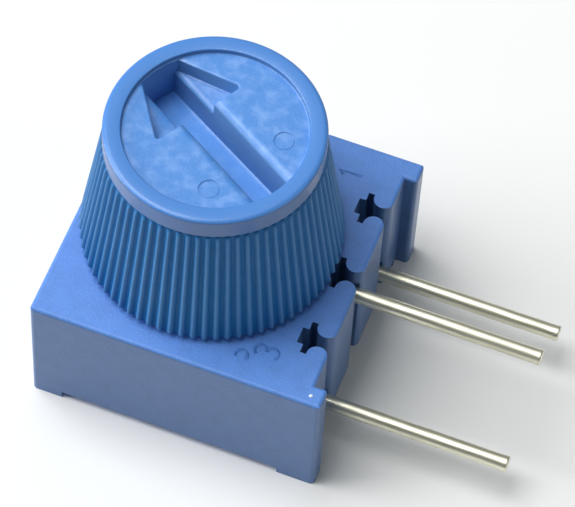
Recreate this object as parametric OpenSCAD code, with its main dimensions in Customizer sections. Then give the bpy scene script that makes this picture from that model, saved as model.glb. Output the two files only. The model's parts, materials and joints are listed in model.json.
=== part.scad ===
// Single-turn trimmer potentiometer: square case, conical thumb knob, three pins out of one side.
// Millimetres, +Z up. The origin is on the knob's axis, in the plane that the four feet stand on.
// The pins leave towards +X, where the two corner posts stand on the circuit board.

/* [Case] */
// Side of the square case, posts included
body_w = 9.53; // [9.2:0.01:10.5]
// Height of the case, feet included
body_h = 4.83; // [4.7:0.01:6]
// How far the knob's axis lies from the middle of the case, away from the pins
axis_shift = 0.6; // [0.5:0.05:0.8]
// Thickness of the side walls around the pocket
side_wall = 0.7; // [0.55:0.05:0.72]
// Thickness of the top wall around the rotor's neck
top_wall = 0.78; // [0.6:0.01:0.9]
// Rounding of the case's upright edges
edge_r = 0.15; // [0.05:0.01:0.3]
// Rounding of the case's top edges
top_edge_r = 0.12; // [0.05:0.01:0.2]
// How far the posts stand out from the face between them
post_proud = 0.42; // [0.2:0.01:0.6]
// Width of each post along the pin side
post_w = 0.72; // [0.6:0.01:1.2]
// Height of the feet
foot_h = 0.3; // [0.15:0.01:0.35]
// Length of the two feet away from the pins
foot_far = 1.0; // [0.6:0.05:1.2]
// Length of the two feet under the posts
foot_near = 1.25; // [0.6:0.05:1.5]
// Width of all four feet across the case
foot_across = 1.0; // [0.6:0.05:1.3]

/* [Terminal slots] */
// Distance between neighbouring pins, along the side and up
pitch = 2.54; // [2.4:0.01:2.6]
// Distance of the slots' middle from the board side of the posts
slot_inset = 1.18; // [1.1:0.01:1.25]
// Width of the slot's cross bar
bar_w = 0.2; // [0.15:0.01:0.3]
// Length of the slot's cross bar
bar_l = 1.15; // [0.9:0.01:1.3]
// Gap between the two rounded lips that close the slot
neck_w = 0.37; // [0.3:0.01:0.45]
// Clearance of a pin in its slot
slot_clear = 0.025; // [0.02:0.005:0.05]
// Wall between a slot and the pocket
slot_wall = 0.14; // [0.1:0.01:0.18]

/* [Pins] */
// Diameter of the pins
pin_d = 0.51; // [0.46:0.01:0.53]
// Length of the pins outside the posts
pin_out = 5.58; // [3:0.01:8]
// Height of the two outer pins above the feet
pin_low_h = 1.35; // [1.3:0.01:1.5]
// Radius of the wires' bends at the bottom of the case
bend_in = 0.3; // [0.28:0.01:0.33]
// How far inside the slot's mouth a wire's straight pin starts
mouth_in = 0.085; // [0.05:0.005:0.1]
// Distance of the outer pins' risers from the pocket's edge
riser_inset = 0.7; // [0.65:0.01:0.8]
// How far a riser stands up through its conductor pad
riser_proud = 0.08; // [0.05:0.01:0.1]

/* [Element] */
// Depth of the potting
potting_t = 0.59; // [0.57:0.01:0.62]
// How far the potting stays below the rim of its pocket
potting_sink = 0.06; // [0.02:0.01:0.1]
// Thickness of the ceramic plate
plate_t = 0.6; // [0.5:0.01:0.65]
// Clearance around the ceramic plate
plate_clear = 0.05; // [0.02:0.01:0.1]
// Thickness of the printed films
film_t = 0.03; // [0.02:0.005:0.04]
// Outer radius of the resistive track
track_r = 2.78; // [2.7:0.01:2.85]
// Width of the resistive track
track_w = 0.78; // [0.75:0.01:0.9]
// Angle between either end of the track and the stop
track_gap = 50; // [40:1:60]
// Radius of the collector pad
collector_r = 1.25; // [1.2:0.01:1.4]
// Radius of the solder joints
solder_r = 0.48; // [0.4:0.01:0.5]
// Height of the solder joints
solder_h = 0.24; // [0.15:0.01:0.3]
// Clearance between the case and the solder joints and films under it
solder_room = 0.05; // [0.03:0.01:0.08]

/* [Rotor] */
// Radius of the chamber that the rotor turns in
chamber_r = 3.4; // [3.3:0.01:3.43]
// Clearance between what turns and what stands still
run_clear = 0.05; // [0.03:0.01:0.08]
// Thickness of the rotor's disc
disc_t = 0.75; // [0.6:0.01:0.8]
// Radius of the hole for the rotor's neck
neck_hole_r = 2.1; // [1.9:0.01:2.2]
// Depth of the rotor's seal groove
groove_d = 0.07; // [0.05:0.01:0.12]
// Radius of the bore that the seal slides in
seal_bore_r = 2.75; // [2.7:0.01:2.8]
// Clearance of the seal in its bore
seal_clear = 0.02; // [0.01:0.01:0.04]
// Radial depth of the stop on the case and of the lug on the rotor
stop_d = 0.42; // [0.3:0.01:0.45]
// Half angle of the stop and of the lug
stop_half = 12.25; // [8:0.25:12.25]
// Side of the square drive between the knob and the rotor
drive_w = 1.7; // [1.4:0.01:1.9]
// Depth of the rotor's square socket
drive_l = 2.1; // [1.6:0.01:2.2]

/* [Wiper] */
// Thickness of the spring sheet
sheet_t = 0.1; // [0.08:0.01:0.12]
// Inner radius of the spring's ring
ring_in = 1.5; // [1.45:0.01:1.6]
// Outer radius of the spring's ring
ring_out = 2.88; // [2.8:0.01:2.9]
// Fingers that run on the track
finger_n = 4; // [3:1:5]
// Length of a track finger
finger_l = 1.1; // [1:0.01:1.15]
// Gap between fingers
finger_gap = 0.05; // [0.03:0.01:0.06]
// Clearance of the finger tips over the films
tip_clear = 0.01; // [0.005:0.005:0.02]

/* [Knob] */
// Height of the knob
knob_h = 5.5; // [5:0.01:7]
// Gap between the knob and the case
knob_gap = 0.18; // [0.12:0.01:0.4]
// Radius over the ribs at the bottom
knob_base_r = 4.16; // [3.9:0.01:4.6]
// Radius over the ribs at the top
knurl_top_r = 3.43; // [3.4:0.01:3.7]
// Height of the smooth band, rim included
band_h = 0.765; // [0.6:0.005:1.1]
// How far the band's lower edge stands out
band_lip = 0.06; // [0.02:0.01:0.1]
// Height of the plain neck between the band and the ribs
neck_h = 0.07; // [0.03:0.01:0.15]
// Radius of the knob's rim
rim_r = 3.38; // [3.35:0.01:3.6]
// Rounding of the rim's outer edge
rim_round = 0.08; // [0.04:0.01:0.12]
// Width of the raised ring on top
ring_w = 0.55; // [0.4:0.01:0.7]
// Depth of the face inside the ring
face_sink = 0.17; // [0.1:0.01:0.25]
// Number of ribs
rib_count = 72; // [60:1:80]
// Share of its pitch that a rib fills
rib_fill = 0.75; // [0.6:0.01:0.94]
// Angle of the first rib, counted from the pins' side
rib_start = 2.8; // [0:0.1:5]
// Wall of the knob's skirt, ribs left out
skirt_wall = 0.65; // [0.5:0.01:0.8]
// Radius of the knob's hub
hub_r = 1.6; // [1.5:0.01:1.8]
// Wall left under the screwdriver slot
slot_floor = 0.7; // [0.5:0.01:1]

/* [Arrow] */
// Direction in which the arrow points, counted from the pins' side
arrow_angle = 149; // [120:1:200]
// Width of the screwdriver slot
driver_w = 1.24; // [1:0.01:1.4]
// Depth of the screwdriver slot below the knob's face
driver_d = 1.45; // [1:0.01:1.6]
// Depth of the arrow's head below the knob's face
head_d = 0.55; // [0.3:0.01:0.8]
// Distance of the barbs from the knob's axis
barb_s = 0.8; // [0.6:0.01:1.1]
// Half width of the arrow's head at its barbs
barb_n = 1.6; // [1.3:0.01:1.8]
// Half of the angle between the head's two sides
head_half = 25.5; // [20:0.5:30]
// Radius of the two ejector marks
mark_r = 0.33; // [0.2:0.01:0.35]
// Depth of the two ejector marks
mark_d = 0.03; // [0.02:0.005:0.05]
// Distance of the ejector marks from the barbs' side of the axis
mark_s = 1.54; // [1.3:0.01:1.6]
// Distance of the ejector marks from the arrow's middle line
mark_n = 1.42; // [1.3:0.01:1.6]

/* [Hidden] */

$fn = 48;
eps = 0.01; // how far a cutting shape passes the face that it cuts
big = 20;   // longer than the whole part

// Case, in X: the far side, the face between the posts, and the board side of the posts
far_x = axis_shift - body_w / 2;
seat_x = axis_shift + body_w / 2;
face_x = seat_x - post_proud;
half_y = body_w / 2;

// Pins, slots and pocket
pin_r = pin_d / 2;
slot_x = seat_x - slot_inset;
straight_x = face_x - mouth_in;
bend_r = straight_x - slot_x;
arm_w = pin_d + 2 * slot_clear;
arm_l = arm_w / 2 + slot_clear;
lip_r = (face_x - slot_x - bar_w / 2) / 2;
pocket_x0 = far_x + side_wall;
pocket_x1 = slot_x - arm_l - slot_wall;
pocket_y = half_y - side_wall;
riser_x = pocket_x1 - riser_inset;

// Heights, from the feet up
rim_z = foot_h;
potting_z = rim_z + potting_sink;
plate_z = potting_z + potting_t;
ledge_z = plate_z + plate_t;
film_z = ledge_z + film_t;
wire_z = potting_z + potting_t / 2;
pin_high_h = pin_low_h + pitch;

// Seal, rotor and drive
groove_r = neck_hole_r - run_clear - groove_d;
seal_d = seal_bore_r - seal_clear - groove_r;
bore_z = body_h - top_wall - seal_d - run_clear;
disc_r = chamber_r - 2 * run_clear;
disc_top = bore_z - run_clear;
disc_z = disc_top - disc_t;
neck_top = body_h + knob_gap;
socket_z = neck_top - drive_l;

// Wiper
track_mid = track_r - track_w / 2;
finger_pitch = (track_w - finger_gap) / finger_n;
finger_w = finger_pitch - finger_gap;
tip_z = film_z + tip_clear;
sheet_z = disc_z - sheet_t;
tip_r = 0.6 * sheet_t;

// Knob
knob_z = body_h + knob_gap;
knob_top = knob_z + knob_h;
band_z = knob_top - band_h;
neck_z = band_z - neck_h;
rib_share = PI * rib_fill / rib_count;
core_base_r = knob_base_r / (1 + rib_share);
core_top_r = knurl_top_r / (1 + rib_share);
rib_base_r = core_base_r * rib_share;
rib_top_r = core_top_r * rib_share;
rib_tilt = atan((core_base_r - core_top_r) / (neck_z - knob_z));
rib_lift = 0.03; // rib ends stay this far above the knob's lower edge
rib_l = (neck_z - knob_z - rib_lift) / cos(rib_tilt);
face_z = knob_top - face_sink;
face_r = rim_r - ring_w;
cavity_z = face_z - driver_d - slot_floor;
head_tip = barb_s + barb_n / tan(head_half);

// Square with round corners, its lower left corner at the origin
module round_rect(w, d, r) {
    translate([r, 0]) square([w - 2 * r, d]);
    translate([0, r]) square([w, d - 2 * r]);
    for (x = [r, w - r], y = [r, d - r]) translate([x, y]) circle(r);
}

// Upright outline with round top corners
module round_top(w, h, r) {
    square([w, h - r]);
    translate([r, 0]) square([w - 2 * r, h]);
    for (x = [r, w - r]) translate([x, h - r]) circle(r);
}

// Block whose upright and top edges are round
module soft_block(w, d, h) {
    intersection() {
        linear_extrude(h) round_rect(w, d, edge_r);
        translate([0, d, 0]) rotate([90, 0, 0]) linear_extrude(d) round_top(w, h, top_edge_r);
        rotate([90, 0, 90]) linear_extrude(w) round_top(d, h, top_edge_r);
    }
}

module ring_sector(r_in, r_out, from, to) {
    rotate(from) rotate_extrude(angle = to - from) translate([r_in, 0]) square([r_out - r_in, film_t]);
}

// Cross-shaped slot, its middle at the origin and its mouth towards +X
module slot_outline() {
    mouth = face_x - slot_x + eps;
    lip_y = neck_w / 2 + lip_r;
    translate([-bar_w / 2, -bar_l / 2]) square([bar_w, bar_l]);
    translate([-arm_l, -arm_w / 2]) square([arm_l, arm_w]);
    difference() {
        translate([0, -lip_y]) square([mouth, 2 * lip_y]);
        for (s = [-1, 1]) translate([bar_w / 2 + lip_r, s * lip_y]) circle(lip_r);
    }
}

// What a terminal takes out of the case: slot, clear way for the pin, and notch to the pocket
module terminal_way(y, pin_h) {
    way_top = pin_h + pin_r + slot_clear;
    notch_top = wire_z + pin_r + slot_clear;
    translate([slot_x, y, -eps]) linear_extrude(body_h + 2 * eps) slot_outline();
    translate([slot_x, y - arm_w / 2, -eps]) cube([face_x - slot_x + 2 * eps, arm_w, way_top + eps]);
    translate([pocket_x1 - eps, y - arm_w / 2, -eps]) cube([slot_wall + 2 * eps, arm_w, notch_top + eps]);
}

// Room in the case over an outer riser: a pocket for its solder joint, and a way for the film to it
module riser_room(y) {
    pad_w = solder_r + 2 * solder_room;
    translate([riser_x, y, ledge_z - eps]) {
        cylinder(r = solder_r + solder_room, h = film_t + solder_h + 2 * solder_room);
    }
    rotate(atan2(y, riser_x)) translate([track_r, -pad_w / 2, ledge_z - eps]) {
        cube([norm([riser_x, y]) - track_r, pad_w, film_t + solder_room + eps]);
    }
}

module housing() {
    post_x = face_x - post_w;
    color([0.36, 0.53, 0.84]) difference() {
        union() {
            translate([far_x, -half_y, 0]) soft_block(face_x - far_x, body_w, body_h);
            for (y = [-half_y, half_y - post_w]) translate([post_x, y, 0]) {
                soft_block(seat_x - post_x, post_w, body_h);
            }
        }
        // gap under the case between the feet
        translate([far_x + foot_far, -big / 2, -eps]) {
            cube([body_w - foot_far - foot_near, big, foot_h + eps]);
        }
        translate([-big / 2, -half_y + foot_across, -eps]) {
            cube([big, body_w - 2 * foot_across, foot_h + eps]);
        }
        // pocket for the ceramic plate and the potting
        translate([pocket_x0, -pocket_y, -eps]) cube([pocket_x1 - pocket_x0, 2 * pocket_y, ledge_z + eps]);
        // rotor's chamber with the stop left standing, seal bore and neck hole
        difference() {
            translate([0, 0, ledge_z - eps]) cylinder(r = chamber_r, h = bore_z - ledge_z + eps);
            rotate(-stop_half) rotate_extrude(angle = 2 * stop_half) {
                translate([chamber_r - stop_d, ledge_z]) square([stop_d + 1, disc_z - run_clear - ledge_z]);
            }
        }
        translate([0, 0, bore_z - eps]) cylinder(r = seal_bore_r, h = body_h - top_wall - bore_z + eps);
        translate([0, 0, body_h - top_wall - eps]) cylinder(r = neck_hole_r, h = top_wall + 2 * eps);
        riser_room(-pitch);
        riser_room(pitch);
        terminal_way(-pitch, pin_low_h);
        terminal_way(0, pin_high_h);
        terminal_way(pitch, pin_low_h);
    }
}

// Quarter bend that starts at the origin heading +X and ends heading up
module bend_up(r) {
    translate([0, 0, r]) rotate([90, 0, 0]) {
        rotate(-90) rotate_extrude(angle = 90) translate([r, 0]) circle(pin_r);
    }
}

// Quarter bend that starts at the origin heading up and ends heading +X
module bend_out(r) {
    translate([r, 0, 0]) rotate([90, 0, 0]) {
        rotate(90) rotate_extrude(angle = 90) translate([r, 0]) circle(pin_r);
    }
}

// Straight wire from the origin along +X
module wire(length) {
    rotate([0, 90, 0]) cylinder(r = pin_r, h = length);
}

// Terminal wire, each stretch starting where the last one ends: down through the plate, outwards in the
// potting, up its slot and out as a straight pin
module terminal(y, pin_h, down_x) {
    climb = pin_h - wire_z;
    r_out = min(bend_r, climb - bend_in);
    up_x = straight_x - r_out;
    run = up_x - down_x - 2 * bend_in;
    upright = climb - bend_in - r_out;
    translate([down_x, y, wire_z + bend_in]) {
        cylinder(r = pin_r, h = film_z + riser_proud - wire_z - bend_in);
        mirror([0, 0, 1]) bend_out(bend_in);
        translate([bend_in, 0, -bend_in]) {
            wire(run);
            translate([run, 0, 0]) {
                bend_up(bend_in);
                translate([bend_in, 0, bend_in]) {
                    if (upright > eps) cylinder(r = pin_r, h = upright);
                    translate([0, 0, upright]) {
                        bend_out(r_out);
                        translate([r_out, 0, r_out]) wire(seat_x + pin_out - straight_x);
                    }
                }
            }
        }
    }
}

module outer_terminal(y) {
    terminal(y, pin_low_h, riser_x);
}

module terminal_pin_1() {
    color([0.82, 0.82, 0.76]) outer_terminal(pitch);
}

module terminal_pin_2() {
    color([0.82, 0.82, 0.76]) terminal(0, pin_high_h, 0);
}

module terminal_pin_3() {
    color([0.82, 0.82, 0.76]) outer_terminal(-pitch);
}

module element_substrate() {
    w = pocket_x1 - pocket_x0 - 2 * plate_clear;
    d = 2 * (pocket_y - plate_clear);
    hole_r = pin_r + slot_clear;
    color([0.93, 0.92, 0.88]) difference() {
        translate([pocket_x0 + plate_clear, -d / 2, plate_z]) cube([w, d, plate_t]);
        for (y = [-pitch, pitch]) translate([riser_x, y, plate_z - eps]) {
            cylinder(r = hole_r, h = plate_t + 2 * eps);
        }
        translate([0, 0, plate_z - eps]) cylinder(r = hole_r, h = plate_t + 2 * eps);
    }
}

module resistive_track() {
    color([0.12, 0.11, 0.11]) translate([0, 0, ledge_z]) {
        ring_sector(track_r - track_w, track_r, track_gap, 360 - track_gap);
    }
}

// Conductor film from the track's end to the riser beside it; side is 1 or -1 in Y
module end_pad(side) {
    riser = [riser_x, side * pitch];
    color([0.75, 0.73, 0.68]) translate([0, 0, ledge_z]) difference() {
        union() {
            rotate(side > 0 ? 0 : -track_gap) ring_sector(track_r - track_w, track_r, 0, track_gap);
            translate(riser) cylinder(r = solder_r, h = film_t);
            rotate(atan2(riser[1], riser[0])) translate([track_mid, -solder_r / 2, 0]) {
                cube([norm(riser) - track_mid, solder_r, film_t]);
            }
        }
        translate([riser[0], riser[1], -eps]) cylinder(r = pin_r, h = film_t + 2 * eps);
        // the resistive track starts here, and the other end's pad keeps clear
        rotate(side > 0 ? track_gap : -track_gap - 90) rotate_extrude(angle = 90) {
            translate([0, -eps]) square([track_r + eps, film_t + 2 * eps]);
        }
        rotate(side > 0 ? -90 : 0) rotate_extrude(angle = 90 + stop_half) {
            translate([0, -eps]) square([track_r + eps, film_t + 2 * eps]);
        }
    }
}

module end_pad_1() {
    end_pad(1);
}

module end_pad_3() {
    end_pad(-1);
}

module collector_pad() {
    color([0.75, 0.73, 0.68]) translate([0, 0, ledge_z]) difference() {
        cylinder(r = collector_r, h = film_t);
        translate([0, 0, -eps]) cylinder(r = pin_r, h = film_t + 2 * eps);
    }
}

// Solder round the end of a riser: a low cone with a flat top
module solder_joint(x, y) {
    color([0.72, 0.73, 0.75]) translate([x, y, film_z]) difference() {
        cylinder(r1 = solder_r, r2 = solder_r / 2, h = solder_h);
        translate([0, 0, -eps]) cylinder(r = pin_r, h = riser_proud + eps);
    }
}

module solder_joint_1() {
    solder_joint(riser_x, pitch);
}

module solder_joint_2() {
    solder_joint(0, 0);
}

module solder_joint_3() {
    solder_joint(riser_x, -pitch);
}

module epoxy_potting() {
    notch_h = wire_z + pin_r + slot_clear - potting_z;
    color([0.85, 0.75, 0.45]) difference() {
        union() {
            translate([pocket_x0, -pocket_y, potting_z]) {
                cube([pocket_x1 - pocket_x0, 2 * pocket_y, potting_t]);
            }
            for (y = [-pitch, 0, pitch]) translate([pocket_x1 - eps, y - arm_w / 2, potting_z]) {
                cube([slot_wall + eps, arm_w, notch_h]);
            }
        }
        outer_terminal(-pitch);
        terminal(0, pin_high_h, 0);
        outer_terminal(pitch);
    }
}

module rotor() {
    lug_r = chamber_r - stop_d;
    color([0.9, 0.9, 0.86]) difference() {
        union() {
            translate([0, 0, disc_z]) cylinder(r = disc_r, h = disc_t);
            translate([0, 0, disc_top - eps]) cylinder(r = groove_r, h = neck_top - disc_top + eps);
            translate([0, 0, body_h - top_wall]) {
                cylinder(r = neck_hole_r - run_clear, h = neck_top - body_h + top_wall);
            }
            rotate(arrow_angle - stop_half) rotate_extrude(angle = 2 * stop_half) {
                translate([lug_r, ledge_z + 3 * run_clear]) {
                    square([disc_r - lug_r, disc_z - ledge_z - 3 * run_clear + eps]);
                }
            }
        }
        rotate(arrow_angle) translate([-drive_w / 2, -drive_w / 2, socket_z]) {
            cube([drive_w, drive_w, drive_l + eps]);
        }
    }
}

module rotor_seal() {
    color([0.1, 0.1, 0.1]) translate([0, 0, disc_top + seal_d / 2]) {
        rotate_extrude() translate([groove_r + seal_d / 2, 0]) circle(seal_d / 2);
    }
}

// One spring finger: leaves the sheet at the origin, runs along +X and dips to the film
module finger(length, width) {
    drop = sheet_z - tip_z;
    back = 0.3 * length;
    translate([0, width / 2, 0]) rotate([90, 0, 0]) linear_extrude(width) {
        polygon([
            [0, sheet_t], [0, 0], [length, -drop + tip_r], [length, -drop + tip_r + sheet_t],
            [sheet_t, sheet_t]
        ]);
        translate([length, tip_r - drop]) circle(tip_r);
        polygon([
            [length, -drop], [length, -drop + sheet_t],
            [length + back, -drop + tip_r + 2 * sheet_t], [length + back, -drop + tip_r + sheet_t]
        ]);
    }
}

module wiper_spring() {
    window_x = track_r - track_w;
    color([0.85, 0.72, 0.45]) rotate(arrow_angle) {
        difference() {
            translate([0, 0, sheet_z]) cylinder(r = ring_out, h = sheet_t);
            translate([0, 0, sheet_z - eps]) cylinder(r = ring_in, h = sheet_t + 2 * eps);
            translate([window_x, -finger_l + sheet_t, sheet_z - eps]) {
                cube([track_w, 1.4 * finger_l, sheet_t + 2 * eps]);
            }
        }
        for (i = [0 : finger_n - 1]) {
            x = window_x + finger_gap + i * finger_pitch + finger_w / 2;
            translate([x, -finger_l, sheet_z]) rotate(90) finger(finger_l, finger_w);
        }
        for (y = [-finger_w, finger_w]) {
            translate([-ring_in - sheet_t, y, sheet_z]) finger(ring_in + sheet_t - 0.9, finger_w);
        }
    }
}

// Profile of the knob without its ribs, turned about its axis
module knob_outline() {
    union() {
        polygon([
            [0, knob_z], [hub_r, knob_z], [hub_r, cavity_z],
            [core_top_r - skirt_wall, cavity_z], [core_base_r - skirt_wall, knob_z],
            [core_base_r, knob_z], [core_top_r, neck_z], [core_top_r, band_z], [core_top_r + band_lip, band_z],
            [rim_r, knob_top - rim_round], [rim_r - rim_round, knob_top], [0, knob_top]
        ]);
        translate([rim_r - rim_round, knob_top - rim_round]) circle(rim_round);
    }
}

// One tapered rib with a blunt top, standing on the origin
module rib() {
    blunt = rib_top_r / 2;
    rotate_extrude() polygon([
        [0, 0], [rib_base_r, 0], [rib_top_r, rib_l - blunt], [rib_top_r / 2, rib_l], [0, rib_l]
    ]);
}

// Screwdriver slot and arrow head, cut down just inside the ring; +X is the arrow's direction
module arrow_cut() {
    intersection() {
        translate([0, 0, face_z - driver_d]) cylinder(r = face_r - 2 * eps, h = driver_d + eps);
        union() {
            translate([-face_r, -driver_w / 2, face_z - driver_d]) {
                cube([2 * face_r, driver_w, driver_d + eps]);
            }
            translate([0, 0, face_z - head_d]) linear_extrude(head_d + eps) {
                polygon([[barb_s, -barb_n], [head_tip, 0], [barb_s, barb_n]]);
            }
        }
    }
}

module knob() {
    color([0.37, 0.58, 0.92]) {
        difference() {
            union() {
                rotate_extrude() knob_outline();
                for (i = [0 : rib_count - 1]) rotate(rib_start + i * 360 / rib_count) {
                    translate([core_base_r, 0, knob_z + rib_lift]) rotate([0, -rib_tilt, 0]) rib();
                }
            }
            translate([0, 0, face_z]) cylinder(r = face_r, h = face_sink + eps);
            rotate(arrow_angle) {
                arrow_cut();
                for (n = [-mark_n, mark_n]) translate([-mark_s, n, face_z - mark_d]) {
                    cylinder(r = mark_r, h = mark_d + eps);
                }
            }
        }
        rotate(arrow_angle) translate([-drive_w / 2, -drive_w / 2, socket_z]) {
            cube([drive_w, drive_w, drive_l + eps]);
        }
    }
}

housing();
element_substrate();
resistive_track();
end_pad_1();
end_pad_3();
collector_pad();
terminal_pin_1();
terminal_pin_2();
terminal_pin_3();
solder_joint_1();
solder_joint_2();
solder_joint_3();
epoxy_potting();
rotor();
rotor_seal();
wiper_spring();
knob();
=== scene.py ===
# %% [markdown]
# # A trimmer potentiometer with a thumb knob
# The object is 15 mm long: a square moulded case, a ribbed conical knob on its top, and three tinned
# wires that leave one side. The solids come from the imported model, which stays the frame of the scene, in
# metres: every place below is read from a solid's box or counted from one. First the frame is loaded.

import json
import math

import bmesh
import bpy
import numpy as np
from mathutils import Matrix, Vector, noise


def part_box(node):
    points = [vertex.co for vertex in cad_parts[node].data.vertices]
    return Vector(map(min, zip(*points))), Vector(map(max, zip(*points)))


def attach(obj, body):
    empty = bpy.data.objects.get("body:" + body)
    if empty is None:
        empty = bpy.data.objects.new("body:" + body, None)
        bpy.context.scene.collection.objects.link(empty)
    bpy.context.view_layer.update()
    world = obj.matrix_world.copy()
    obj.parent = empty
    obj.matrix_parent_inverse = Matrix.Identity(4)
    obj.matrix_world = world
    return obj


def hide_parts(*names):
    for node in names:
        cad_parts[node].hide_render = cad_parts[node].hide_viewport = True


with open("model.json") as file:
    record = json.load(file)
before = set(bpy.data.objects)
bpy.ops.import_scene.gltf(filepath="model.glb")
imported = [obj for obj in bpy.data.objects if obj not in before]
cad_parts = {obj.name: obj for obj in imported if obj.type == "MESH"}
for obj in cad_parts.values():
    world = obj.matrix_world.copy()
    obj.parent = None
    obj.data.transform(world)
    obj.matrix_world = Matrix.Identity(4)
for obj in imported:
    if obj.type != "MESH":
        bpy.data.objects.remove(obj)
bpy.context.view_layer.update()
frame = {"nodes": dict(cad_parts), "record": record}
nodes = frame["nodes"]
MM = 0.001  # one millimetre in the scene's metres

# %% [markdown]
# ## Camera
# A small part is best shown from well above and a little to the right of the pin side's corner, through a
# long lens, so that its upright edges stay nearly parallel. The camera is placed on a sphere about a
# point in the case's top, by its azimuth, elevation and distance, and is tilted a few degrees about its
# own axis as a hand-held one would be.

# %% Place the camera
AIM = Vector((2.495, 0.053, 4.83)) * MM
AZIMUTH, ELEVATION, ROLL = (math.radians(a) for a in (17.3, 58.0, 3.95))
DISTANCE = 109.3 * MM
LENS_MM, SENSOR_MM = 220.54, 36.0
CLIP_NEAR, CLIP_FAR = 0.005, 5.0


def look_frame(azimuth, elevation, roll):
    """The camera's right, up and backward directions."""
    level = math.cos(elevation)
    back = Vector((math.sin(azimuth) * level, -math.cos(azimuth) * level, math.sin(elevation)))
    straight_right = Vector((math.cos(azimuth), math.sin(azimuth), 0))
    straight_up = back.cross(straight_right)
    right = straight_right * math.cos(roll) + straight_up * math.sin(roll)
    up = straight_up * math.cos(roll) - straight_right * math.sin(roll)
    return right, up, back


right, up, back = look_frame(AZIMUTH, ELEVATION, ROLL)
camera_data = bpy.data.cameras.new("camera")
camera_data.lens = LENS_MM
camera_data.sensor_width = SENSOR_MM
camera_data.clip_start = CLIP_NEAR
camera_data.clip_end = CLIP_FAR
camera = bpy.data.objects.new("camera", camera_data)
turned = Matrix((right, up, back)).transposed().to_4x4()
camera.matrix_world = Matrix.Translation(AIM + back * DISTANCE) @ turned
bpy.context.scene.collection.objects.link(camera)
bpy.context.scene.camera = camera
print("camera at", [round(v / MM, 2) for v in camera.location], "mm")

# %% [markdown]
# ## Floor and light
# A plain pale floor lies under the feet. The main light is a broad soft box high up on the left, so that
# the knob's top and the case's top are the brightest faces and the front wall is calmer. A second box
# stands low on the left and lights the left flanks of the ribs and the posts, a weak one at the back
# draws the ring's far edge, and a small one on the right keeps the pins and the wall behind them from
# going black. A weak pale sky fills the rest. The colours are shown by the standard view transform, which
# keeps a saturated blue as it is.

# %% A maker of meshes and a maker of materials
scene = bpy.context.scene
scene.view_settings.view_transform = "Standard"
scene.view_settings.look = "None"


def mesh_object(name, vertices, faces):
    """A new object in the scene from points in metres and faces."""
    mesh = bpy.data.meshes.new(name)
    mesh.from_pydata([tuple(v) for v in vertices], [], faces)
    mesh.update()
    obj = bpy.data.objects.new(name, mesh)
    scene.collection.objects.link(obj)
    return obj


def new_material(name, **constants):
    """A material with a principled shader, some of whose sockets are set to constants."""
    mat = bpy.data.materials.new(name)
    mat.use_nodes = True
    shader = mat.node_tree.nodes["Principled BSDF"]
    for socket, value in constants.items():
        shader.inputs[socket.replace("_", " ")].default_value = value
    return mat, shader


# %% Floor and sky
FLOOR_HALF, FLOOR_Z = 0.6, -1e-5  # metres: a hair under the feet
corners = ((-1, -1), (1, -1), (1, 1), (-1, 1))
floor_points = [(x * FLOOR_HALF, y * FLOOR_HALF, FLOOR_Z) for x, y in corners]
floor = mesh_object("floor", floor_points, [(0, 1, 2, 3)])
floor_finish, _ = new_material("pale_floor", Base_Color=(0.9, 0.9, 0.9, 1), Roughness=0.9)
floor.data.materials.append(floor_finish)

world = bpy.data.worlds.new("sky")
scene.world = world
world.use_nodes = True
background = world.node_tree.nodes["Background"]
background.inputs["Color"].default_value = (0.92, 1.05, 0.99, 1)
background.inputs["Strength"].default_value = 0.104

# %% Soft boxes
LIGHT_DISTANCE = 0.30


def soft_box(name, azimuth, elevation, size, watts):
    """A square area light on a sphere about the case, facing it."""
    light = bpy.data.lights.new(name, "AREA")
    light.shape = "SQUARE"
    light.size = size
    light.energy = watts
    obj = bpy.data.objects.new(name, light)
    a, e = math.radians(azimuth), math.radians(elevation)
    away = Vector((math.cos(a) * math.cos(e), math.sin(a) * math.cos(e), math.sin(e)))
    obj.location = AIM + away * LIGHT_DISTANCE
    obj.rotation_euler = away.to_track_quat("Z", "Y").to_euler()
    scene.collection.objects.link(obj)


soft_box("main_soft_box", azimuth=182, elevation=66, size=0.22, watts=0.89)
soft_box("back_soft_box", azimuth=108, elevation=50, size=0.16, watts=0.045)
soft_box("low_soft_box", azimuth=194, elevation=14, size=0.16, watts=0.62)
soft_box("pin_side_fill", azimuth=355, elevation=22, size=0.16, watts=0.12)

# %% [markdown]
# ## Finishes
# Every finish is made from a few small steps of shader nodes, and no image is painted or loaded: noise
# that lives in the piece's own coordinates, a soft step between two numbers, and a mix of two colours.
# Some colours are painted light and shade; each is named where it stands.
# The grain that a mould or a brush leaves is far too fine to model, so it goes into a bump. Three more
# steps find the zones of a piece: its upright faces, its height and its distance from the knob's axis.

# %% Steps that all finishes share
def place_of(tree):
    """The place in the piece's own coordinates, in metres."""
    return tree.nodes.new("ShaderNodeTexCoord").outputs["Object"]


def noise_of(tree, period_mm, detail=3, stretch=(1, 1, 1)):
    """Noise from 0 to 1 whose patches are about period_mm wide, stretched along an axis if asked."""
    scale = tree.nodes.new("ShaderNodeMapping")
    scale.inputs["Scale"].default_value = [1 / (period_mm * MM * s) for s in stretch]
    pattern = tree.nodes.new("ShaderNodeTexNoise")
    pattern.inputs["Scale"].default_value = 1.0
    pattern.inputs["Detail"].default_value = detail
    tree.links.new(place_of(tree), scale.inputs["Vector"])
    tree.links.new(scale.outputs["Vector"], pattern.inputs["Vector"])
    return pattern.outputs["Fac"]


def soft_step(tree, value, start, end, low=0.0, high=1.0, kind="SMOOTHSTEP"):
    """low where value is below start, high where it is above end, and a change of that kind between."""
    step = tree.nodes.new("ShaderNodeMapRange")
    step.interpolation_type = kind
    for socket, number in (("From Min", start), ("From Max", end), ("To Min", low), ("To Max", high)):
        step.inputs[socket].default_value = number
    tree.links.new(value, step.inputs["Value"])
    return step.outputs["Result"]


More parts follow.
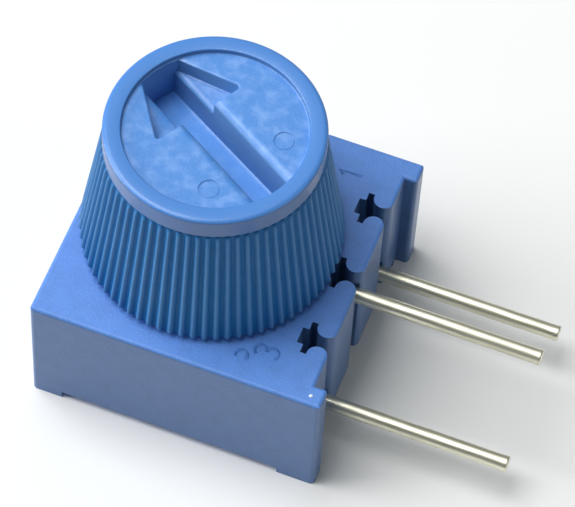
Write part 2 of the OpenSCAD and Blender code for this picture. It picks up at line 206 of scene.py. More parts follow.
def mix_colours(tree, share, first, second):
    """A colour between first and second, each a colour or a socket."""
    mix = tree.nodes.new("ShaderNodeMix")
    mix.data_type = "RGBA"
    tree.links.new(share, mix.inputs["Factor"])
    for socket, colour in (("A", first), ("B", second)):
        target = [s for s in mix.inputs if s.name == socket and s.type == "RGBA"][0]
        if isinstance(colour, tuple):
            target.default_value = (*colour, 1)
        else:
            tree.links.new(colour, target)
    return [s for s in mix.outputs if s.type == "RGBA"][0]


def grain_bump(tree, shader, period_mm, depth_mm, stretch=(1, 1, 1)):
    """Fine unevenness of the surface."""
    bump = tree.nodes.new("ShaderNodeBump")
    bump.inputs["Strength"].default_value = 1.0
    bump.inputs["Distance"].default_value = depth_mm * MM
    tree.links.new(noise_of(tree, period_mm, 2, stretch), bump.inputs["Height"])
    tree.links.new(bump.outputs["Normal"], shader.inputs["Normal"])


# %% Steps that find the zones of a piece
def z_of(tree, vector):
    """The upright part of a vector: of a place, the height in metres."""
    parts = tree.nodes.new("ShaderNodeSeparateXYZ")
    tree.links.new(vector, parts.inputs["Vector"])
    return parts.outputs["Z"]


def is_upright(tree):
    """1 on upright faces, 0 on level ones."""
    normal = tree.nodes.new("ShaderNodeNewGeometry").outputs["Normal"]
    size = tree.nodes.new("ShaderNodeMath")
    size.operation = "ABSOLUTE"
    tree.links.new(z_of(tree, normal), size.inputs[0])
    return soft_step(tree, size.outputs["Value"], 0.3, 0.9, 1.0, 0.0)


def radius_of(tree):
    """Distance from the knob's axis, in metres."""
    flat = tree.nodes.new("ShaderNodeVectorMath")
    flat.operation = "MULTIPLY"
    flat.inputs[1].default_value = (1, 1, 0)
    length = tree.nodes.new("ShaderNodeVectorMath")
    length.operation = "LENGTH"
    tree.links.new(place_of(tree), flat.inputs[0])
    tree.links.new(flat.outputs["Vector"], length.inputs[0])
    return length.outputs["Value"]


# %% [markdown]
# ### Blue plastic of the case
# The mouldings are a dyed thermoplastic: even in colour, with a faint cloudiness, a satin surface and a
# trace of the mould's spark-eroded grain. Upright faces drag along the mould as it opens and come out
# smoother than level ones. They also get a darker, greyer colour, which is painted shade and a painted
# warm floor reflection, so colour and sheen are mixed by the direction of the surface.

# %% Plastic of the case
PLAIN, DULL, PALE = 1.0, 0.8, 1.2  # shares of the plain colour


def case_finish(name, level, upright):
    """Dyed plastic, cloudy and grained, with a darker, greyer colour on upright faces as painted shade."""
    mat, shader = new_material(name, IOR=1.5)
    tree = mat.node_tree

    # The upright colour is painted shade and a painted warm floor reflection on the walls.
    def shade(share):
        on_level, upright_painted_shade = (tuple(c * share for c in colour) for colour in (level, upright))
        return mix_colours(tree, is_upright(tree), on_level, upright_painted_shade)

    clouds = soft_step(tree, noise_of(tree, 0.6, 4), 0.35, 0.75, 0.0, 0.6)
    specks = soft_step(tree, noise_of(tree, 0.07, 3), 0.45, 0.7, 0.0, 0.5)
    cloudy = mix_colours(tree, clouds, shade(PLAIN), shade(DULL))
    tree.links.new(mix_colours(tree, specks, cloudy, shade(PALE)), shader.inputs["Base Color"])
    tree.links.new(soft_step(tree, is_upright(tree), 0, 1, 0.44, 0.30), shader.inputs["Roughness"])
    grain_bump(tree, shader, 0.07, 0.009)
    return mat


# upright: a darker, greyer copy of the blue, painted shade and painted floor reflection on the walls.
case_plastic = case_finish("case_plastic", level=(0.10, 0.26, 0.70), upright=(0.064, 0.147, 0.345))

# %% [markdown]
# ## The thumb knob
# On the real part the knob is one nylon moulding: a smooth band and a raised ring on top, 72 ribs that
# taper with the skirt, a hub inside with a square drive, and the arrow sunk into its face. A revolved
# wall makes the body. Each row of the wall is a circle whose radius swells once per rib, and the swelling
# dies away at both ends, which gives the ribs their blunt, rounded tips. Twelve points per rib are enough
# for a narrow crest and a wider groove.

# %% The knob's sizes
knob_low, knob_high = (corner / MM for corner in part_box("knob"))
CASE_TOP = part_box("housing")[1].z / MM
KNOB_GAP, BAND_H, NECK_H = 0.18, 0.765, 0.07  # from the case up, and from the knob's top down
FACE_SINK, CAVITY_DEEP = 0.17, 2.32  # under the knob's top
KNOB_TOP = knob_high.z
KNOB_Z = CASE_TOP + KNOB_GAP  # lower edge of the skirt
BAND_Z = KNOB_TOP - BAND_H  # lower edge of the smooth band
NECK_Z = BAND_Z - NECK_H  # where the ribs end, under a plain neck
FACE_Z = KNOB_TOP - FACE_SINK
CAVITY_Z = KNOB_TOP - CAVITY_DEEP
RIBS, STEPS_PER_RIB, RIB_START = 72, 12, 2.8  # the first rib's crest stands at RIB_START degrees
RIB_SHARE = 0.03272  # height of a rib for each millimetre of radius
RIB_SHARPNESS = 1.1  # above 1 the crests are narrower than the grooves
CREST_TOP_R = 3.43
BASE_R = knob_high.x / (1 + RIB_SHARE)
NECK_R = CREST_TOP_R / (1 + RIB_SHARE)
HUB_R, SKIRT_WALL, CHAMFER = 1.6, 0.65, 0.04
RIM_R, RIM_ROUND, RIM_WIDE = 3.38, 0.1, 0.16
FACE_R, EDGE_ROUND, BAND_LIP, LIP_ROUND = 2.83, 0.04, 0.06, 0.02
print("knob: top %.2f, skirt from %.2f, radius %.3f under the ribs" % (KNOB_TOP, KNOB_Z, BASE_R))


# %% Rows of the wall
def rib_height(phase, radius):
    """Height of a rib over the skirt, phase running from -1 to 1 across one rib's pitch."""
    wave = 0.5 + 0.5 * np.cos(math.pi * phase)
    return radius * RIB_SHARE * wave ** RIB_SHARPNESS


def inner_rows():
    """Rows (height, radius, no rib) from under the hub up into the cavity and down to the skirt's foot."""
    hub_chamfer, foot_step = 0.05, 0.02
    in_top, in_low = NECK_R - SKIRT_WALL, BASE_R - SKIRT_WALL
    return [
        (KNOB_Z, HUB_R - hub_chamfer, 0), (KNOB_Z + hub_chamfer, HUB_R, 0),
        (CAVITY_Z, HUB_R, 0), (CAVITY_Z, in_top, 0),
        (KNOB_Z + CHAMFER, in_low, 0), (KNOB_Z, in_low + CHAMFER, 0), (KNOB_Z, BASE_R - foot_step, 0),
    ]


def rib_rows():
    """Rows (height, None, share of the full rib) up the skirt; the shares shape the ribs' two blunt ends."""
    foot = ((0.02, 0.0), (0.03, 0.0), (0.034, 0.80), (0.05, 0.93), (0.09, 1.0))
    tip = ((0.18, 1.0), (0.12, 0.95), (0.07, 0.8), (0.035, 0.55), (0.01, 0.25), (0.0, 0.0))
    full_from, full_to = KNOB_Z + foot[-1][0], NECK_Z - tip[0][0]
    rows = [(KNOB_Z + above, None, share) for above, share in foot]
    rows += [(full_from + t * (full_to - full_from), None, 1.0) for t in (0.2, 0.4, 0.6, 0.8)]
    return rows + [(NECK_Z - below, None, share) for below, share in tip]


def round_edge(z, radius, rise, widen, degrees):
    """Rows round a quarter of an ellipse that touches z and the radius; rise and widen have signs."""
    turns = np.radians(degrees)
    return [(z + rise * (1 - math.sin(t)), radius + widen * (1 - math.cos(t)), 0) for t in turns]


def band_rows():
    """Rows (height, radius, no rib) from the neck over the smooth band and the raised ring to the face."""
    lip = NECK_R + BAND_LIP
    rows = [(BAND_Z - 0.01, NECK_R, 0), (BAND_Z, NECK_R + 0.01, 0)]
    rows += [(BAND_Z, lip - LIP_ROUND, 0), (BAND_Z + LIP_ROUND, lip, 0)]
    for t in (0.1, 0.5, 0.9):
        rows.append((BAND_Z + t * (KNOB_TOP - RIM_ROUND - BAND_Z), lip + t * (RIM_R - lip), 0))
    rows += round_edge(KNOB_TOP, RIM_R, -RIM_ROUND, -RIM_WIDE, [0, 18, 36, 54, 72, 90])
    rows += round_edge(KNOB_TOP, FACE_R, -EDGE_ROUND, EDGE_ROUND, [90, 60, 30, 0])
    return rows + round_edge(FACE_Z, FACE_R, EDGE_ROUND, -EDGE_ROUND, [0, 30, 60, 90])


def skirt_radius(z):
    """Radius of the skirt under the ribs at the height z."""
    return BASE_R + (NECK_R - BASE_R) * min(max((z - KNOB_Z) / (NECK_Z - KNOB_Z), 0), 1)


# %% [markdown]
# The rows are joined into one closed skin. The two ends of the list, in the middle of the hub and in the
# middle of the face, are closed by one flat face each.

# %% Skin the rows
def closed_skin(name, rings):
    """A mesh through rings of equal length, in mm, with a flat face over the first and the last ring."""
    count = len(rings[0])
    vertices = [tuple(c * MM for c in point) for ring in rings for point in ring]
    faces = [tuple(range(count))[::-1], tuple(range((len(rings) - 1) * count, len(rings) * count))]
    for row in range(len(rings) - 1):
        low, high = row * count, (row + 1) * count
        for i in range(count):
            j = (i + 1) % count
            faces.append((low + i, low + j, high + j, high + i))
    obj = mesh_object(name, vertices, faces)
    shape = bmesh.new()
    shape.from_mesh(obj.data)
    bmesh.ops.recalc_face_normals(shape, faces=shape.faces)
    shape.to_mesh(obj.data)
    shape.free()
    return obj


columns = np.arange(RIBS * STEPS_PER_RIB)
phase = ((columns / STEPS_PER_RIB + 0.5) % 1 - 0.5) * 2
angles = np.radians(RIB_START) + 2 * math.pi * columns / len(columns)
rings = []
for z, radius, share in inner_rows() + rib_rows() + band_rows():
    under = skirt_radius(z)
    r = under + share * rib_height(phase, under) if radius is None else np.full(len(columns), radius)
    rings.append(np.stack([r * np.cos(angles), r * np.sin(angles), np.full(len(columns), z)], axis=-1))
knob = closed_skin("thumb_knob", rings)
print("knob skin:", len(knob.data.vertices), "points")

# %% [markdown]
# ## The arrow
# The arrow is a screwdriver slot, about 1.45 mm deep, with a shallower head at one end. Its edges are
# round, and that roundness is what catches the light. So each cutting block flares at the face: its
# outline grows along a quarter of an ellipse as it reaches the surface. The slot's own edges are worn
# well round by screwdrivers, those of the head are nearly sharp, and on one side a broad, soft lip joins
# the head's floor to the slot. The slot's floor dips a little towards the tip.

# %% Outlines of the slot and of the head
ARROW, HEAD_HALF = math.radians(149), math.radians(25.5)  # where it points, and half its head's angle
SLOT_HALF, SLOT_DEEP, HEAD_DEEP = 0.58, 1.45, 0.55
BARB_S, BARB_N = 0.8, 1.6  # the barbs, along the arrow and to its side
SLOT_FLARE, HEAD_FLARE, LIP_FLARE = (0.31, 0.2), (0.07, 0.06), (0.42, 0.11)  # width, depth of round edges
SLOT_DIP, CORNER_R = 0.05, 0.08  # the floor's fall per millimetre towards the tip, and the barbs' rounding
CUT_R = FACE_R - EDGE_ROUND + 0.005
TIP_S = BARB_S + BARB_N / math.tan(HEAD_HALF)


def arc(radius, start, end, steps=10):
    """Points of an arc about the knob's axis."""
    return [(radius * math.cos(a), radius * math.sin(a)) for a in np.linspace(start, end, steps)]


def along_arrow(s, n, z):
    """Knob coordinates of a point s along the arrow and n to its left."""
    return s * math.cos(ARROW) - n * math.sin(ARROW), s * math.sin(ARROW) + n * math.cos(ARROW), z


def slot_outline(grow):
    """The slot, widened by grow on its long sides; both ends lie on the ring."""
    side = math.asin((SLOT_HALF + grow) / CUT_R)
    return arc(CUT_R, -side, side) + arc(CUT_R, math.pi - side, math.pi + side)


def ring_meets_head(apex):
    """Angle at which the head's straight sides, which would meet at the distance apex, end on the ring."""
    side = math.pi / 2 - HEAD_HALF
    return side - math.acos(apex * math.cos(side) / CUT_R)


def lip_outline(grow):
    """The slot's strip inside the head, widened by grow on its worn side, by half of it on the other side.

    Its corners stay a hair inside the head's outline, because faces that coincide upset a boolean.
    """
    ends = []
    for half in (SLOT_HALF + grow, SLOT_HALF + grow / 2):
        turn = min(math.asin(half / CUT_R), ring_meets_head(TIP_S) - 0.01)
        reach = min(TIP_S - (half + 0.02) / math.tan(HEAD_HALF), CUT_R * math.cos(turn) - 0.001)
        ends.append((half, turn, reach))
    (worn, worn_turn, worn_reach), (crisp, crisp_turn, crisp_reach) = ends
    start = BARB_S + 0.04
    corners = [(worn_reach, worn), (start, worn), (start, -crisp), (crisp_reach, -crisp)]
    return arc(CUT_R, -crisp_turn, worn_turn) + corners


def rounded(before, corner, after, radius, steps=5):
    """Points that round one corner of an outline with the given radius."""
    corner = np.array(corner)
    to_before, to_after = (np.array(p) - corner for p in (before, after))
    to_before, to_after = to_before / np.linalg.norm(to_before), to_after / np.linalg.norm(to_after)
    half = math.acos(float(to_before @ to_after)) / 2
    middle = corner + (to_before + to_after) / np.linalg.norm(to_before + to_after) * radius / math.sin(half)
    first = corner + to_before * radius / math.tan(half) - middle
    last = corner + to_after * radius / math.tan(half) - middle
    points = []
    for t in np.linspace(0, 1, steps):
        way = first * (1 - t) + last * t
        points.append(tuple(middle + way / np.linalg.norm(way) * radius))
    return points


def head_outline(grow):
    """The head, widened by grow on its straight sides; the ring cuts its tip off, and its barbs are blunt."""
    apex, back = TIP_S + grow / math.sin(HEAD_HALF), BARB_S - grow
    turn = ring_meets_head(apex)
    barb = (apex - back) * math.tan(HEAD_HALF)
    front = arc(CUT_R, -turn, turn)
    corners = [(back, barb), (back, -barb)]
    radius = CORNER_R + grow
    left = rounded(front[-1], corners[0], corners[1], radius)
    return front + left + rounded(corners[0], corners[1], front[0], radius)


def flared_block(name, outline, face, depth, flare, draft=0.02, foot=0.05, dip=0.0):
    """A cutting block under the plane z = face, whose outline grows by the flare's width near the face.

    draft narrows the block's lower end, foot rounds its lower edge, and dip tilts its underside.
    """
    wide, deep = flare
    over, above, bend = 0.0005, 0.3, 0.3 * foot
    levels = [(-depth, -draft - foot, dip)]
    if foot:
        levels += [(-depth + bend, -draft - bend, dip), (-depth + foot, -draft, dip)]
    for turn in np.radians([0, 15, 30, 45, 60, 75, 90]):
        levels.append((-deep * (1 - math.sin(turn)) + over, wide * (1 - math.cos(turn)), 0.0))
    levels.append((above, wide, 0.0))
    rings = []
    for under, grow, fall in levels:
        rings.append([along_arrow(s, n, face + under - fall * s) for s, n in outline(grow)])
    return closed_skin(name, rings)


slot_block = flared_block("slot_block", slot_outline, FACE_Z, SLOT_DEEP, SLOT_FLARE, foot=0.12, dip=SLOT_DIP)
head_block = flared_block("head_block", head_outline, FACE_Z, HEAD_DEEP, HEAD_FLARE)
lip_block = flared_block("lip_block", lip_outline, FACE_Z - HEAD_DEEP, 0.3, LIP_FLARE, draft=0.05, foot=0)

# %% [markdown]
# Two round ejector marks lie beside the slot's tail, where the pins of the mould pushed the knob out:
# shallow discs with a fine groove round each, which shows as a thin circle. Under the hub stands the
# square drive that sits in the rotor. The marks, the slot and the head are cut by booleans, and the drive
# is joined the same way.

# %% Ejector marks
MARK_S, MARK_N, MARK_R, MARK_DEEP, MARK_GROOVE = -1.54, 1.42, 0.33, 0.015, 0.03
MARK_LEVELS = (  # above the face, beyond the mark's radius
    (-MARK_DEEP, -0.05), (-MARK_GROOVE, -0.035), (-MARK_GROOVE, -0.01), (0, 0.005), (0.2, 0.01),
)
turns = np.linspace(0, 2 * math.pi, 48, endpoint=False)
marks = []
for n in (-MARK_N, MARK_N):
    rings = []
    for above, beyond in MARK_LEVELS:
        r, z = MARK_R + beyond, FACE_Z + above
        rings.append([along_arrow(MARK_S + r * math.cos(t), n + r * math.sin(t), z) for t in turns])
    marks.append(closed_skin("ejector_mark", rings))


# %% Square drive
DRIVE_HALF, DRIVE_ROUND, DRIVE_CHAMFER, DRIVE_SUNK = 0.85, 0.1, 0.08, 0.3


def square_outline(half, radius):
    """A square with round corners."""
    points = []
    for quarter in range(4):
        for t in np.linspace(0, math.pi / 2, 5):
            x, y = half - radius + radius * math.cos(t), half - radius + radius * math.sin(t)
            c, s = math.cos(quarter * math.pi / 2), math.sin(quarter * math.pi / 2)
            points.append((x * c - y * s, x * s + y * c))
    return points


drive_levels = (
    (knob_low.z, DRIVE_HALF - DRIVE_CHAMFER), (knob_low.z + DRIVE_CHAMFER, DRIVE_HALF),
    (KNOB_Z + DRIVE_SUNK, DRIVE_HALF),
)
drive = closed_skin("square_drive", [
    [along_arrow(x, y, z) for x, y in square_outline(half, DRIVE_ROUND)] for z, half in drive_levels
])


# %% Carve the knob
def carve(obj, operation, tools):
    """Run exact booleans on obj, keep the result as its mesh, and remove the tools."""
    for tool in tools:
        step = obj.modifiers.new("carve", "BOOLEAN")
        step.operation, step.solver, step.object = operation, "EXACT", tool
    graph = bpy.context.evaluated_depsgraph_get()
    result = bpy.data.meshes.new_from_object(obj.evaluated_get(graph))
    obj.modifiers.clear()
    obj.data = result
    for tool in tools:
        bpy.data.objects.remove(tool, do_unlink=True)


def soften(obj, degrees=35):
    """Smooth shading that keeps the sharp edges and lets the large faces set the normals."""
    obj.data.shade_smooth()
    obj.data.set_sharp_from_angle(angle=math.radians(degrees))
    step = obj.modifiers.new("weighted_normals", "WEIGHTED_NORMAL")
    step.keep_sharp = True


carve(knob, "DIFFERENCE", [slot_block, head_block, lip_block] + marks)
carve(knob, "UNION", [drive])
soften(knob)
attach(knob, "turning_knob")
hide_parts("knob")
print("knob carved:", len(knob.data.polygons), "faces")

# %% [markdown]
# ### The knob's two finishes
# The recess is handled by screwdrivers, so its face is rubbed pale in patches. The slot's floor is
# painted paler all over as painted light over the shade in the slot, and the raised ring is smooth and
# painted a shade deeper as a painted darker reflection. Upright walls are painted darker and greyer, as
# painted shade and a painted warm floor reflection. The ribs are matt, with a painted sheen on their
# crests and painted shade down in the grooves. Both finishes find their zones by the distance from the
# knob's axis, so they turn with the knob.

# %% Finish of the face, the ring and the band
def knob_face_plastic(name, face, rubbed, slot_floor, ring, recess_wall, band):
    """The knob's plastic: rubbed face, painted light on the slot floor, painted shade on ring and walls."""
    mat, shader = new_material(name, IOR=1.5)
    tree = mat.node_tree
    patches = soft_step(tree, noise_of(tree, 0.45, 5), 0.4, 0.75)
    specks = soft_step(tree, noise_of(tree, 0.06, 2), 0.45, 0.75, 0.0, 0.35)
    level = mix_colours(tree, specks, mix_colours(tree, patches, face, rubbed), rubbed)
    height = z_of(tree, place_of(tree))
    # Painted light: the slot's deep floor is painted paler where it lies in shade.
    painted_floor_light = soft_step(tree, height, (FACE_Z - 1.3) * MM, (FACE_Z - 1.0) * MM, 0.5, 0.0)
    level = mix_colours(tree, painted_floor_light, level, slot_floor)
    on_ring = soft_step(tree, radius_of(tree), (FACE_R - 0.03) * MM, (FACE_R + 0.03) * MM)
    # Painted shade: the ring is painted a little darker for its darker reflection.
    level = mix_colours(tree, on_ring, level, ring)
    # Painted shade: upright walls of the recess and the band get darker, greyer colours than level faces.
    walls = mix_colours(tree, on_ring, recess_wall, band)
    tree.links.new(mix_colours(tree, is_upright(tree), level, walls), shader.inputs["Base Color"])
    tree.links.new(soft_step(tree, on_ring, 0, 1, 0.34, 0.27), shader.inputs["Roughness"])
    grain_bump(tree, shader, 0.07, 0.006)
    return mat


# %% Finish of the ribs
def rib_plastic(name, crest, groove):
    """The skirt's plastic: painted groove shade to painted crest sheen, by height over the skirt."""
    mat, shader = new_material(name, IOR=1.5, Specular_IOR_Level=0.2)
    tree = mat.node_tree
    foot, neck, foot_r, neck_r = (number * MM for number in (KNOB_Z, NECK_Z, BASE_R, NECK_R))
    skirt = soft_step(tree, z_of(tree, place_of(tree)), foot, neck, foot_r, neck_r, kind="LINEAR")
    over_skirt = tree.nodes.new("ShaderNodeMath")
    over_skirt.operation = "SUBTRACT"
    tree.links.new(radius_of(tree), over_skirt.inputs[0])
    tree.links.new(skirt, over_skirt.inputs[1])
    full = BASE_R * RIB_SHARE * MM
    # Painted shade in the grooves and a painted sheen on the crests.
    on_crest = soft_step(tree, over_skirt.outputs["Value"], 0.2 * full, full)
    tree.links.new(mix_colours(tree, on_crest, groove, crest), shader.inputs["Base Color"])
    tree.links.new(soft_step(tree, noise_of(tree, 0.4), 0.3, 0.7, 0.45, 0.6), shader.inputs["Roughness"])
    grain_bump(tree, shader, 0.06, 0.003)
    return mat


# slot_floor is painted light; ring, recess_wall and band are painted shade.
knob_plastic = knob_face_plastic(
    "knob_plastic", face=(0.076, 0.262, 0.69), rubbed=(0.175, 0.37, 0.80), slot_floor=(0.11, 0.36, 0.9),
    ring=(0.075, 0.245, 0.65), recess_wall=(0.115, 0.275, 0.57), band=(0.056, 0.145, 0.37),
)
# groove is painted shade, crest a painted sheen.
knob_ribs = rib_plastic("knob_ribs", crest=(0.070, 0.215, 0.465), groove=(0.009, 0.130, 0.36))

# %% Give each face of the knob its finish
for finish in (knob_plastic, knob_ribs):
    knob.data.materials.append(finish)
for face in knob.data.polygons:
    middle = face.center / MM
    outside = math.hypot(middle.x, middle.y) > NECK_R - 0.01
    face.material_index = 1 if outside and KNOB_Z + 0.02 < middle.z < BAND_Z else 0
print("faces on the ribs:", sum(face.material_index for face in knob.data.polygons))

# %% [markdown]
# ## The case
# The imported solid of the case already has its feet, posts, cross-shaped slots and round edges, so it is
# kept and only finished. Beside the outer slots the case carries the numbers of its two end terminals, to
# be read with the pins towards the reader, and beside the 3 a small bent arrow, in ink that has nearly
# the colour of the plastic. Each is drawn with bevelled curves, pressed flat on the case's top, because a
# curve with several strokes is the shortest way to write a plain figure.

# %% Finish the case
def dress(name, material):
    """Give a solid of the frame its finish."""
    nodes[name].data.materials.clear()
    nodes[name].data.materials.append(material)


dress("housing", case_plastic)
print("case dressed, its top at", round(CASE_TOP, 2), "mm")


# %% Numbers of the end terminals
def worn_ink(name, ink, bare):
    """Ink that has rubbed thin in patches, so that the plastic's colour shows through."""
    mat, shader = new_material(name, Roughness=0.5, Specular_IOR_Level=0.3)
    tree = mat.node_tree
    worn = soft_step(tree, noise_of(tree, 0.22, 4), 0.35, 0.65)
    tree.links.new(mix_colours(tree, worn, ink, bare), shader.inputs["Base Color"])
    return mat


terminal_ink = worn_ink("terminal_ink", ink=(0.035, 0.14, 0.42), bare=(0.08, 0.215, 0.60))
INK_HALF, INK_FLATTEN, FIGURE_R = 0.055, 0.2, 0.19


def printed_figure(name, strokes, x, y):
    """A figure of bevelled strokes, each a list of (right, up) in mm, lying flat on the case's top."""
    curve = bpy.data.curves.new(name, "CURVE")
    curve.dimensions = "3D"
    curve.bevel_depth = INK_HALF * MM
    curve.bevel_resolution = 2
    curve.use_fill_caps = True
    for stroke in strokes:
        spline = curve.splines.new("POLY")
        spline.points.add(len(stroke) - 1)
        for point, (across, up) in zip(spline.points, stroke):
            point.co = (-up * MM, across * MM, 0, 1)
    figure = bpy.data.objects.new(name, curve)
    figure.location = (x * MM, y * MM, CASE_TOP * MM)
    figure.scale.z = INK_FLATTEN
    scene.collection.objects.link(figure)
    curve.materials.append(terminal_ink)
    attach(figure, "case")


def bow(middle, start, end, steps=12):
    """A round stroke about a middle on the figure's axis."""
    turns = np.radians(np.linspace(start, end, steps))
    return [(FIGURE_R * math.cos(a), middle + FIGURE_R * math.sin(a)) for a in turns]


printed_figure("number_1", [[(-0.13, 0.21), (0, 2 * FIGURE_R), (0, -2 * FIGURE_R)]], x=3.3, y=3.6)
printed_figure("number_3", [bow(FIGURE_R, 150, -90), bow(-FIGURE_R, 90, -150)], x=3.15, y=-3.5)
ARROW_BARBS = ((0.12, -0.01), (0, 0), (0.03, -0.12))  # from the arrow's tip
sweep = bow(0, 120, -130)
arrow_head = [(sweep[-1][0] + across, sweep[-1][1] + up) for across, up in ARROW_BARBS]
printed_figure("turn_arrow", [sweep, arrow_head], x=2.47, y=-3.88)
print("printed the numbers of the end terminals and a plain turning arrow")

# %% [markdown]
# A corner post has a tiny near-white dome on its top, a painted glint.

# %% Painted glint
def patchy(name, colour, other, patch_mm, roughness, grain_mm=0.05, grain_depth=0.002, **constants):
    """A finish whose colour and sheen vary in patches, with a grain."""
    mat, shader = new_material(name, **constants)
    tree = mat.node_tree
    patches = noise_of(tree, patch_mm, 5)
    mixed = mix_colours(tree, soft_step(tree, patches, 0.35, 0.65), colour, other)
    tree.links.new(mixed, shader.inputs["Base Color"])
    tree.links.new(soft_step(tree, patches, 0.3, 0.7, *roughness), shader.inputs["Roughness"])
    grain_bump(tree, shader, grain_mm, grain_depth)
    return mat


def painted_glint_dome(name, x, y, radius, rise, sunk=0.004, skew=0.15):
    """A low, slightly skewed near-white dome on the case's top: a painted glint."""
    rings = []
    for turn in np.radians([0, 20, 40, 60, 80]):
        r, z = radius * math.cos(turn), CASE_TOP - sunk + rise * math.sin(turn)
        ring = []
        for t in np.linspace(0, 2 * math.pi, 20, endpoint=False):
            ring.append((x + r * math.cos(t), y + r * (1 + skew * math.sin(2 * t)) * math.sin(t), z))
        rings.append(ring)
    pip = closed_skin(name, rings)
    # The near-white colour is a painted glint.
    glint_white = patchy("painted_glint_white", (0.93, 0.95, 1.0), (0.7, 0.8, 1.0), 0.03, (0.2, 0.35))
    pip.data.materials.append(glint_white)
    soften(pip)
    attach(pip, "case")


# A painted glint on the case's corner.
painted_glint_dome("painted_glint_pip", x=4.94, y=-4.43, radius=0.06, rise=0.02)

# %% [markdown]
# ## The terminal wires
# Each wire is round and tinned. It passes through the ceramic plate, turns outwards under it, climbs
# inside its slot and leaves the case as a straight pin. Dipping leaves the tin a little uneven, and the
# shears that cut the wire off spread its end. So the route is laid out as points in one upright plane,
# and a ring of points is swept along it whose radius wanders slightly and grows at the cut end.

# %% Route of a wire
BEND_IN, RISER_PROUD = 0.3, 0.08  # bends under the plate, and the wire's end over the films
SLOT_X, STRAIGHT_X, STEP = 4.185, 4.86, 0.12  # where it climbs, where it runs straight, ring from ring
FILM_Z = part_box("collector_pad")[1].z / MM


def quarter(x, z, radius, start, end, steps=9):
    """Points of a quarter circle in the plane of X and Z."""
    turns = np.radians(np.linspace(start, end, steps))
    return [(x + radius * math.cos(a), z + radius * math.sin(a)) for a in turns]


def wire_route(name, pin_z):
    """Points (x, z) from the wire's end in the plate to the pin's cut end, and the wire's radius."""
    low, high = (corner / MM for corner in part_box(name))
    radius = (high.y - low.y) / 2
    down_x, under_z = low.x + radius, low.z + radius
    bend_out = min(STRAIGHT_X - SLOT_X, pin_z - under_z - BEND_IN)
    up_x = STRAIGHT_X - bend_out
    route = [(down_x, FILM_Z + RISER_PROUD)]
    route += quarter(down_x + BEND_IN, under_z + BEND_IN, BEND_IN, 180, 270)
    route += quarter(up_x - BEND_IN, under_z + BEND_IN, BEND_IN, -90, 0)
    route += quarter(STRAIGHT_X, pin_z - bend_out, bend_out, 180, 90)
    route += [(x, pin_z) for x in np.arange(STRAIGHT_X + STEP, high.x - 0.1, STEP)]
    route += [(high.x - before, pin_z) for before in (0.06, 0.02, 0)]
    kept = [route[0]]
    for point in route[1:]:
        if math.dist(point, kept[-1]) > 0.005:
            kept.append(point)
    return np.array(kept), radius


# %% Sweep the wires
RING_POINTS, TIN_WANDER = 28, 0.05
SPREAD, SPREAD_OVER, CUT_CHAMFER = 0.07, 0.4, 0.08  # shares of the radius, over a length in mm


def tinned_pin(name, y, pin_z):
    """One whole terminal wire at the distance y from the middle, its pin at the height pin_z."""
    route, radius = wire_route(name, pin_z)
    ahead = np.gradient(route, axis=0)
    ahead /= np.linalg.norm(ahead, axis=1)[:, None]
    end_x = route[-1][0]
    rings = []
    for (x, z), (run_x, run_z) in zip(route, ahead):
        spread = SPREAD * min(max(1 - (end_x - x) / SPREAD_OVER, 0), 1) ** 2
        if end_x - x < 0.01:
            spread -= CUT_CHAMFER
        ring = []
        for turn in np.linspace(0, 2 * math.pi, RING_POINTS, endpoint=False):
            side, lift = math.cos(turn), math.sin(turn)
            uneven = noise.noise(Vector((x * 1.1, 3 * y + 0.8 * side, z * 1.1 + 0.8 * lift)))
            r = radius * (1 - TIN_WANDER * (0.5 + 0.5 * uneven) + spread)
            ring.append((x - run_z * r * lift, y + r * side, z + run_x * r * lift))
        rings.append(ring)
    wire = closed_skin(name.replace("terminal_pin", "tinned_wire"), rings)
    wire.data.materials.append(tinned)
    soften(wire, 50)
    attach(wire, "case")
    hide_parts(name)
    print(wire.name, "of", len(route), "rings, pin at height %.2f" % pin_z)


def dipped_tin(name):
    """Solder-dipped wire: pale and faintly yellow metal, duller in patches, with marks that run along it."""
    mat, shader = new_material(name, Metallic=1.0)
    tree = mat.node_tree
    patches = noise_of(tree, 0.5, 4, (3, 1, 1))
    colour = mix_colours(tree, soft_step(tree, patches, 0.3, 0.7), (0.86, 0.84, 0.69), (0.72, 0.70, 0.57))
    tree.links.new(colour, shader.inputs["Base Color"])
    tree.links.new(soft_step(tree, patches, 0.3, 0.7, 0.34, 0.48), shader.inputs["Roughness"])
    grain_bump(tree, shader, 0.12, 0.004, (6, 1, 1))
    return mat


tinned = dipped_tin("tinned_wire")
for mount in frame["record"]["mounts"]:
    if mount["kind"] == "pin":
        _, pin_y, pin_z = (v / MM for v in mount["pos_m"])
        tinned_pin("terminal_" + mount["name"], pin_y, pin_z)

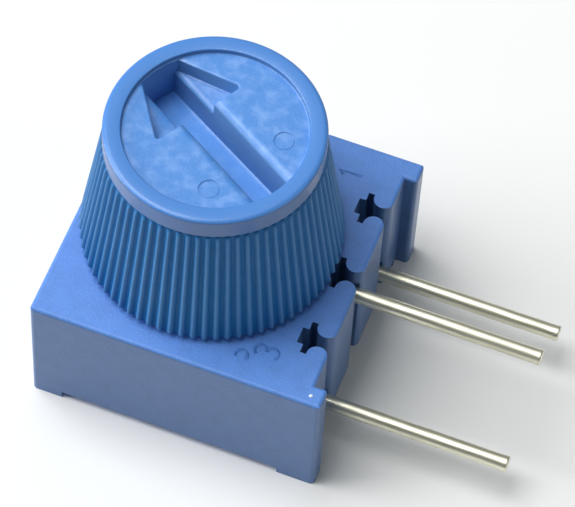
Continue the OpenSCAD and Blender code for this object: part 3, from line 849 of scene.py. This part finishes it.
# %% [markdown]
# ## Inside the case
# The rest is hidden, or shows only through the open bottom and the slots: an amber potting, a ceramic
# plate with printed films, solder on the wires, a rotor with its rubber seal, and the sprung wiper. Their
# solids are kept, and one maker gives each its finish: a colour that varies in patches, a fine grain, and
# a metal where it is one.

# %% Finishes of the inner pieces
alumina = patchy("alumina", (0.80, 0.78, 0.71), (0.87, 0.86, 0.81), 0.3, (0.55, 0.7), 0.03, 0.002)
cermet = patchy("cermet", (0.02, 0.018, 0.018), (0.06, 0.052, 0.05), 0.05, (0.35, 0.5), 0.02, 0.001)
film = patchy(
    "conductor_film", (0.60, 0.58, 0.53), (0.50, 0.48, 0.43), 0.08, (0.3, 0.45), 0.02, 0.001, Metallic=0.9,
)
solder = patchy("solder", (0.62, 0.63, 0.65), (0.50, 0.51, 0.53), 0.2, (0.22, 0.4), 0.08, 0.003, Metallic=1.0)
epoxy = patchy(
    "epoxy", (0.42, 0.28, 0.07), (0.52, 0.37, 0.12), 1.5, (0.12, 0.25), 0.6, 0.006, Transmission_Weight=0.15,
)
rotor_plastic = patchy("rotor_plastic", (0.66, 0.64, 0.56), (0.72, 0.70, 0.63), 0.8, (0.4, 0.5), 0.08, 0.003)
seal_rubber = patchy("seal_rubber", (0.018, 0.018, 0.02), (0.03, 0.03, 0.03), 0.3, (0.55, 0.75), 0.05, 0.003)
wiper_alloy = patchy(
    "wiper_alloy", (0.70, 0.52, 0.24), (0.62, 0.45, 0.20), 0.3, (0.25, 0.4), 0.05, 0.001, Metallic=1.0,
)

# %% Dress the inner pieces
for names, finish in (
    (["element_substrate"], alumina),
    (["resistive_track"], cermet),
    (["end_pad_1", "end_pad_3", "collector_pad"], film),
    (["solder_joint_1", "solder_joint_2", "solder_joint_3"], solder),
    (["epoxy_potting"], epoxy),
    (["rotor"], rotor_plastic),
    (["rotor_seal"], seal_rubber),
    (["wiper_spring"], wiper_alloy),
):
    for name in names:
        dress(name, finish)
    print(finish.name, "on", ", ".join(names))
